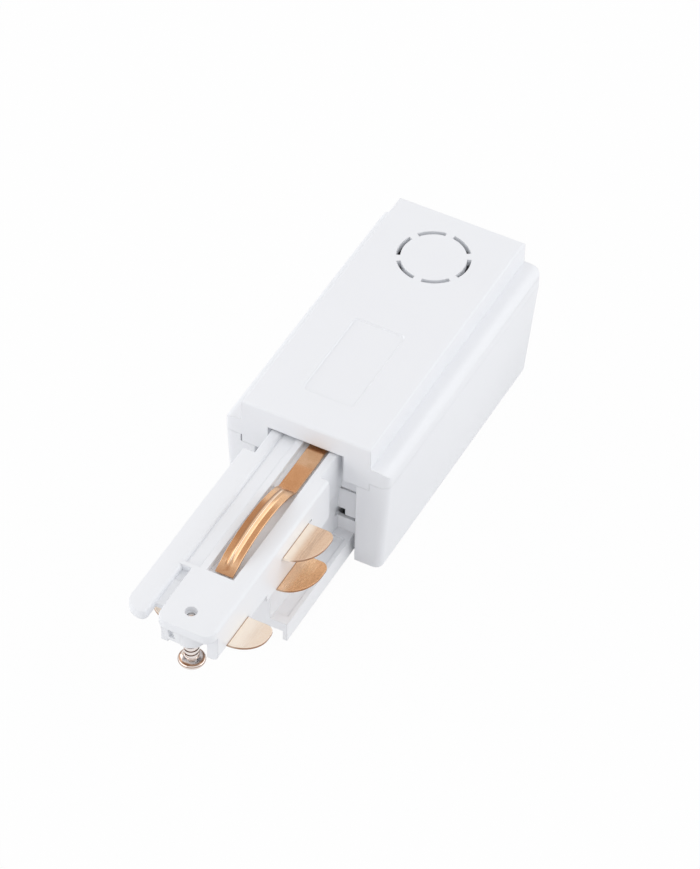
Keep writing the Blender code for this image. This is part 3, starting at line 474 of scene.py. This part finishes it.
def recess(piece, x, y, face, deep, reach, wide, arms):
    """Sink a driver's slot (one arm) or cross (two) into a head, from the height of its face."""
    below = 1.0  # how far the cutter stands out of the face
    for arm in range(arms):
        bpy.ops.object.select_all(action='DESELECT')
        bpy.ops.mesh.primitive_cube_add(size=1, location=(x, y, (face + (deep - below) / 2) / MM),
                                        rotation=(0, 0, pi / 4 + arm * pi / 2))
        blade = bpy.context.active_object
        blade.scale = (reach * 2 / MM, wide / MM, (deep + below) / MM)
        bpy.ops.object.transform_apply(location=True, rotation=True, scale=True)
        if arms > 1:  # a cross narrows towards its bottom
            bpy.ops.object.mode_set(mode='EDIT')
            bpy.ops.mesh.select_mode(type='FACE')
            bpy.ops.mesh.select_all(action='DESELECT')
            bpy.ops.object.mode_set(mode='OBJECT')
            for polygon in blade.data.polygons:
                polygon.select = polygon.normal.z > 0.5
            bpy.ops.object.mode_set(mode='EDIT')
            bpy.ops.transform.resize(value=(0.5, 0.5, 1), center_override=(x, y, 0))
            bpy.ops.object.mode_set(mode='OBJECT')
        pick(piece)
        sink = piece.modifiers.new("sink", 'BOOLEAN')
        sink.solver = 'EXACT'
        sink.operation = 'DIFFERENCE'
        sink.object = blade
        bpy.ops.object.modifier_apply(modifier="sink")
        bpy.data.objects.remove(blade, do_unlink=True)


def reach_of(node):
    """A node's middle, x and y, and the heights of its foot and tip."""
    low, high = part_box(node)
    return (low.x + high.x) / 2, (low.y + high.y) / 2, low.z * MM, high.z * MM


def fit(screw, first, *others):
    """Seat a screw at the node where it was made, and a copy of it at each of the others."""
    for node in others:
        piece = copy_of(screw, node)
        bpy.ops.object.mode_set(mode='EDIT')
        bpy.ops.mesh.select_all(action='SELECT')
        bpy.ops.transform.translate(value=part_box(node)[0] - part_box(first)[0])
        bpy.ops.object.mode_set(mode='OBJECT')
        seat(piece, node, 30)
    seat(screw, first, 30)


# Lock screw: a domed, mirror-plated head with a cross recess below it, and a plain pin at its tip.
x, y, foot, tip = reach_of("lock_screw")
head, core, pin = 2.71, 1.34, 0.72
ring = foot + 1.1
face = ring - 1.45
neck = ring + 0.95
dome = [(head * sin(step * pi / 20), ring - 1.45 * cos(step * pi / 20)) for step in range(1, 11)]
crown = [(head * cos(step * pi / 24), ring + 1.14 * sin(step * pi / 24)) for step in range(1, 9)]
shank = [(core, neck), (core, tip - 3.1), (0.78, tip - 2.8), (pin, tip - 2.6), (pin, tip - 0.2), (0.55, tip)]
screw = turned("lock_screw", nickel, x, y, [(0.15, face)] + dome + crown + shank, sides=64)
recess(screw, x, y, face, deep=1.3, reach=1.25, wide=0.55, arms=2)
threaded(screw, x, y, radius=1.5, low=neck, high=tip - 3.3, pitch=1.05, depth=0.27)
fit(screw, "lock_screw")

# Terminal screws: slotted cheese heads under the cages.
nodes = ["terminal_screw_%d" % number for number in range(1, 6)]
x, y, foot, tip = reach_of(nodes[0])
screw = turned(nodes[0], zinc, x, y, [
    (1.75, foot), (1.9, foot + 0.15), (1.9, foot + 1.25), (1.75, foot + 1.4),
    (1.12, foot + 1.4), (1.12, tip - 0.3), (0.9, tip)])
recess(screw, x, y, foot, deep=0.8, reach=2.2, wide=0.5, arms=1)
threaded(screw, x, y, radius=1.3, low=foot + 1.55, high=tip - 0.5, pitch=0.5, depth=0.18)
fit(screw, *nodes)

# Clamp screws, and the longer cover screws: pan heads with a cross recess and a coarse thread.
for kind in ("clamp_screw", "cover_screw"):
    nodes = [kind + "_left", kind + "_right"]
    x, y, foot, tip = reach_of(nodes[0])
    screw = turned(nodes[0], zinc, x, y, [
        (1.2, foot), (1.75, foot + 0.12), (2.15, foot + 0.4), (2.35, foot + 0.8), (2.4, foot + 1.1),
        (2.4, foot + 1.7), (1.0, foot + 1.7), (1.0, tip - 1.2), (0.35, tip)])
    recess(screw, x, y, foot, deep=1.2, reach=1.2, wide=0.5, arms=2)
    threaded(screw, x, y, radius=1.3, low=foot + 2.2, high=tip - 1.3, pitch=0.9, depth=0.26)
    fit(screw, *nodes)


# Floor: white paper that keeps the object's shadow, and lets a camera below it see through

bpy.ops.mesh.primitive_plane_add(size=6, location=(0, 0, -0.0002))
floor = bpy.context.active_object
floor.name = "floor"
paper = Paint("paper_floor")
paper.feed(Base_Color=(0.76, 0.76, 0.77, 1.0), Roughness=0.9)
seen = paper.ray("Camera") + paper.ray("Glossy")
glow = paper.node("ShaderNodeEmission", {}, (1.0, 1.0, 1.0, 1.0), 1.0)
from_above = paper.blend(seen * 0.97, paper.own_surface(), glow)
from_below = paper.node("ShaderNodeBsdfTransparent", {})
backfacing = paper.node("ShaderNodeNewGeometry", {}, out="Backfacing")
floor.data.materials.append(paper.show(paper.blend(backfacing, from_above, from_below)))


# Room: even and pale, with two darker patches that show only in what mirrors them

studio = Paint("studio", world=True)


def toward(direction):
    return studio.node("ShaderNodeVectorMath", {"operation": 'DOT_PRODUCT'}, studio.place, direction,
                       out="Value")


patches = toward((-0.40, 0.45, 0.80)).above(0.82, 0.12) + toward((-0.31, -0.58, 0.75)).above(0.86, 0.10)
mirrored = studio.node("ShaderNodeBackground", {},
                       studio.mix(patches, (1.0, 0.99, 0.98), (0.70, 0.55, 0.44)), 1.04)
studio.feed(Color=(0.99, 0.994, 1.008, 1.0), Strength=0.74)
bpy.context.scene.world = studio.show(studio.blend(studio.ray("Glossy"), studio.own_surface(), mirrored))


# Lamps

def softbox(name, place, size, power):
    """A rectangular lamp, aimed at the object's middle."""
    lamp = bpy.data.lights.new(name, 'AREA')
    lamp.shape = 'RECTANGLE'
    lamp.size, lamp.size_y = size
    lamp.energy = power
    box = bpy.data.objects.new(name, lamp)
    bpy.context.scene.collection.objects.link(box)
    box.location = place
    box.rotation_euler = (Vector((0, 0, 0.016)) - Vector(place)).to_track_quat('-Z', 'Y').to_euler()


softbox("back_right", (0.55, 0.30, 0.40), size=(0.9, 0.9), power=1.90)
softbox("front_left", (-0.45, -0.55, 0.24), size=(0.8, 0.5), power=1.16)
softbox("left", (-0.62, 0.0, 0.30), size=(0.5, 0.5), power=0.76)


# Camera

azimuth, elevation, roll = radians(26.97), radians(45.5), radians(1.28)
target = Vector((0.00075, 0.01075, 0.0150))
distance = 0.908
focal_pixels, picture_height = 4626, 869
back = Vector((sin(azimuth) * cos(elevation), -cos(azimuth) * cos(elevation), sin(elevation)))
upright = Euler((pi / 2 - elevation, 0, azimuth)).to_matrix()
lens = bpy.data.cameras.new("camera")
lens.sensor_fit = 'AUTO'
lens.sensor_width = 36.0
lens.lens = focal_pixels * lens.sensor_width / picture_height
lens.clip_start = 0.05
lens.clip_end = 20
camera = bpy.data.objects.new("camera", lens)
bpy.context.scene.collection.objects.link(camera)
camera.location = target + back * distance
camera.rotation_euler = (upright @ Matrix.Rotation(roll, 3, 'Z')).to_euler()
bpy.context.scene.camera = camera
bpy.context.scene.view_settings.view_transform = 'Standard'
